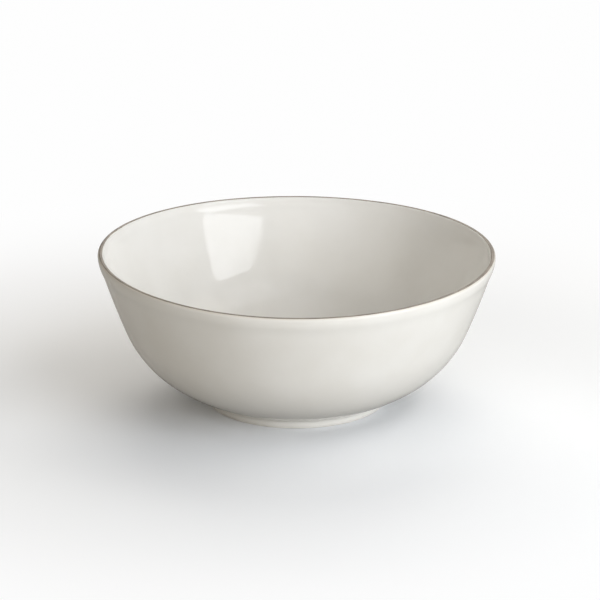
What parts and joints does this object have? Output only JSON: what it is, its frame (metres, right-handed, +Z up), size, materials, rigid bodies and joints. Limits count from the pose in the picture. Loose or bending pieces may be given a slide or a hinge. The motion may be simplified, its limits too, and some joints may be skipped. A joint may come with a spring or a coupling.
{
  "type": "serving bowl",
  "caption": "Round glazed porcelain serving bowl with a flared lip, a fired colour band on the rim and a low bare-edged foot ring.",
  "frame": {"origin": "centre of the foot ring's resting face, on the table", "axes": "+Z up along the bowl's axis of turning; X and Y lie in the table plane and are equivalent"},
  "size_m": [0.24, 0.24, 0.093],
  "materials": {
    "fired_porcelain": "matte",
    "bare_foot": "matte",
    "clear_glaze_inside": "gloss",
    "clear_glaze_outside": "gloss",
    "clear_glaze_base": "gloss",
    "fired_band": "gloss"
  },
  "bodies": {
    "root": {"porcelain_body": "fired_porcelain", "foot_ring": "bare_foot", "inner_glaze": "clear_glaze_inside", "outer_glaze": "clear_glaze_outside", "base_glaze": "clear_glaze_base", "rim_band": "fired_band"}
  },
  "joints": []
}
